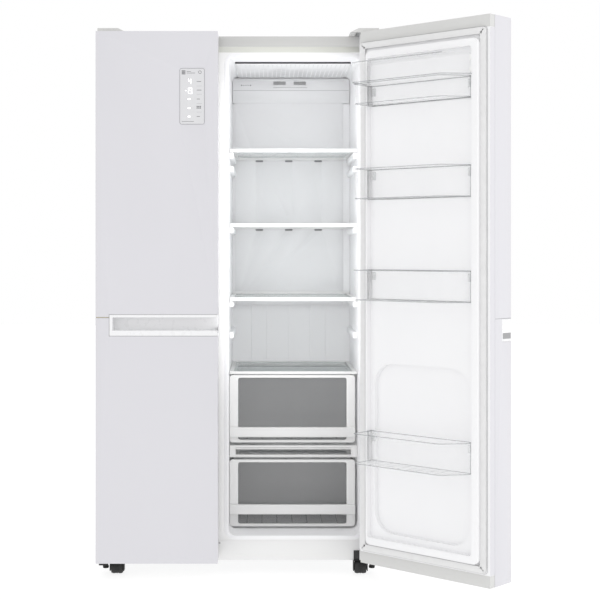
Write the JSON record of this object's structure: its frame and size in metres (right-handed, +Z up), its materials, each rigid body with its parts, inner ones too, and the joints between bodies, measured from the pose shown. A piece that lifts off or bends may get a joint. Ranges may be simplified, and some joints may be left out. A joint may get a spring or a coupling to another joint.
{
  "type": "side by side refrigerator",
  "caption": "Side by side refrigerator with a closed freezer door, an open fridge door, glass shelves, crisper drawers, door bins and wheels.",
  "frame": {"origin": "on the floor under the middle of the cabinet body", "axes": "+Z up, +X to the right seen from the front, -Y towards the doors"},
  "size_m": [1.2869, 1.0642, 1.781],
  "materials": {
    "cabinet_paint": "satin",
    "door_paint": "satin",
    "zinc_steel": "satin",
    "black_steel": "satin",
    "white_plastic": "satin",
    "liner_plastic": "satin",
    "grey_plastic": "satin",
    "seal_rubber": "matte",
    "clear_plastic": "gloss",
    "shelf_glass": "gloss",
    "foam": "matte",
    "lamp_plastic": "satin",
    "display_face": "gloss",
    "circuit": "satin",
    "coil_aluminium": "satin",
    "dark_plastic": "matte",
    "black_rubber": "matte",
    "screw_steel": "satin"
  },
  "bodies": {
    "cabinet": {"cabinet_shell": "cabinet_paint", "cabinet_back_panel": "zinc_steel", "base_plate": "zinc_steel", "cabinet_foam": "foam", "fridge_liner": "liner_plastic", "freezer_liner": "liner_plastic", "front_frame": "grey_plastic", "kick_panel": "white_plastic", "machine_cover": "grey_plastic", "fridge_air_duct": "liner_plastic", "fridge_top_duct": "liner_plastic", "lamp_lens": "lamp_plastic", "freezer_air_duct": "liner_plastic", "evaporator": "coil_aluminium", "condenser": "coil_aluminium", "drain_pan": "dark_plastic", "compressor": "black_steel", "compressor_bushes": "black_rubber", "fan_frames": "dark_plastic", "control_box": "white_plastic", "circuit_boards": "circuit", "power_inlet": "dark_plastic", "shelf_frames": "white_plastic", "shelf_glasses": "shelf_glass", "crisper_frame": "white_plastic", "freezer_shelves": "clear_plastic", "freezer_baskets": "clear_plastic", "top_hinges": "zinc_steel", "hinge_covers": "grey_plastic", "bottom_hinges": "black_steel", "wheel_forks": "black_steel", "screws": "screw_steel"},
    "fridge_door": {"fridge_door_skin": "door_paint", "fridge_door_caps": "grey_plastic", "fridge_door_liner": "liner_plastic", "fridge_door_foam": "foam", "fridge_door_gasket": "seal_rubber", "fridge_door_handle": "white_plastic", "fridge_door_bins": "clear_plastic", "fridge_door_dairy_tray": "clear_plastic"},
    "dairy_lid": {"fridge_door_dairy_lid": "clear_plastic"},
    "freezer_door": {"freezer_door_skin": "door_paint", "freezer_door_caps": "grey_plastic", "freezer_door_liner": "liner_plastic", "freezer_door_foam": "foam", "freezer_door_gasket": "seal_rubber", "freezer_door_handle": "white_plastic", "freezer_door_bins": "clear_plastic", "freezer_door_display": "display_face"},
    "upper_crisper": {"upper_crisper_tub": "clear_plastic", "upper_crisper_front": "white_plastic"},
    "lower_crisper": {"lower_crisper_tub": "clear_plastic", "lower_crisper_front": "white_plastic"},
    "evaporator_fan": {"evaporator_fan": "dark_plastic"},
    "condenser_fan": {"condenser_fan": "dark_plastic"},
    "front_wheel_right": {"front_wheel_right": "dark_plastic"},
    "front_wheel_left": {"front_wheel_left": "dark_plastic"},
    "rear_rollers": {"rear_rollers": "dark_plastic"},
    "levelling_foot_right": {"levelling_foot_right": "dark_plastic"},
    "levelling_foot_left": {"levelling_foot_left": "dark_plastic"}
  },
  "joints": [
    {"name": "fridge_door_swing", "type": "hinge", "parent": "cabinet", "child": "fridge_door", "pos_m": [0.431, -0.371, 0.9], "axis": [0, 0, 1], "range_deg": [-137, 0]},
    {"name": "freezer_door_swing", "type": "hinge", "parent": "cabinet", "child": "freezer_door", "pos_m": [-0.431, -0.371, 0.9], "axis": [0, 0, -1], "range_deg": [0, 130]},
    {"name": "dairy_lid_lift", "type": "hinge", "parent": "fridge_door", "child": "dairy_lid", "pos_m": [0.57019, -0.58831, 1.65], "axis": [-0.7314, 0.682, 0], "range_deg": [0, 50]},
    {"name": "upper_crisper_slide", "type": "slide", "parent": "cabinet", "child": "upper_crisper", "axis": [0, -1, 0], "range_m": [0, 0.26]},
    {"name": "lower_crisper_slide", "type": "slide", "parent": "cabinet", "child": "lower_crisper", "axis": [0, -1, 0], "range_m": [0, 0.22]},
    {"name": "evaporator_fan_spin", "type": "hinge", "parent": "cabinet", "child": "evaporator_fan", "pos_m": [-0.245, 0.19, 0.76], "axis": [0, -1, 0], "continuous": true},
    {"name": "condenser_fan_spin", "type": "hinge", "parent": "cabinet", "child": "condenser_fan", "pos_m": [-0.06, 0.2195, 0.126], "axis": [1, 0, 0], "continuous": true},
    {"name": "front_wheel_right_roll", "type": "hinge", "parent": "cabinet", "child": "front_wheel_right", "pos_m": [0.4, -0.305, 0.021], "axis": [1, 0, 0], "continuous": true},
    {"name": "front_wheel_left_roll", "type": "hinge", "parent": "cabinet", "child": "front_wheel_left", "pos_m": [-0.4, -0.305, 0.021], "axis": [1, 0, 0], "continuous": true},
    {"name": "rear_rollers_roll", "type": "hinge", "parent": "cabinet", "child": "rear_rollers", "pos_m": [0, 0.28, 0.017], "axis": [1, 0, 0], "continuous": true},
    {"name": "foot_right_screw", "type": "slide", "parent": "cabinet", "child": "levelling_foot_right", "axis": [0, 0, -1], "range_m": [0, 0.014]},
    {"name": "foot_left_screw", "type": "slide", "parent": "cabinet", "child": "levelling_foot_left", "axis": [0, 0, -1], "range_m": [0, 0.014]}
  ]
}
